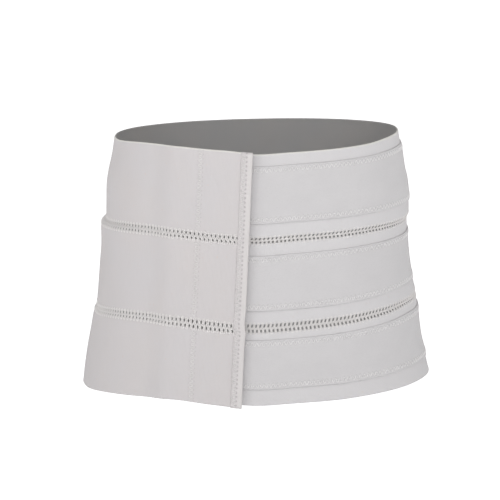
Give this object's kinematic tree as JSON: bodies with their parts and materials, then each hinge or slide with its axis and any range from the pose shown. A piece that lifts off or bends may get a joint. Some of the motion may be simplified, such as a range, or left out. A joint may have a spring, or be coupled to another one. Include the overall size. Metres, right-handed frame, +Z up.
{
  "type": "abdominal binder",
  "caption": "Elastic abdominal binder in its worn form: stacked bands joined by openwork strips, wrapped round the torso and lapped at the front with a hook-and-loop flap.",
  "frame": {"origin": "the mount torso: the centre of the torso hollow, half way between the top and bottom edges at the front", "axes": "+Z up, towards the wearer's head; the lapped front faces -Y; +X is on the right of someone who looks at the front, which is the wearer's left"},
  "size_m": [0.3423, 0.2396, 0.2554],
  "materials": {
    "elastic": "matt warm white elastic webbing with fine ribs",
    "openwork": "matt off-white joining threads",
    "loop": "soft brushed cool white loop pile",
    "hook": "slightly shiny white nylon hook tape",
    "tape": "matt off-white folded tape"
  },
  "bodies": {
    "root": {"upper_panel": "elastic", "middle_panel": "elastic", "lower_panel": "elastic", "upper_seam": "openwork", "lower_seam": "openwork", "upper_loop_pad": "loop", "middle_loop_pad": "loop", "lower_loop_pad": "loop", "hook_strip": "hook", "flap_binding": "tape", "end_binding": "tape"}
  },
  "joints": []
}
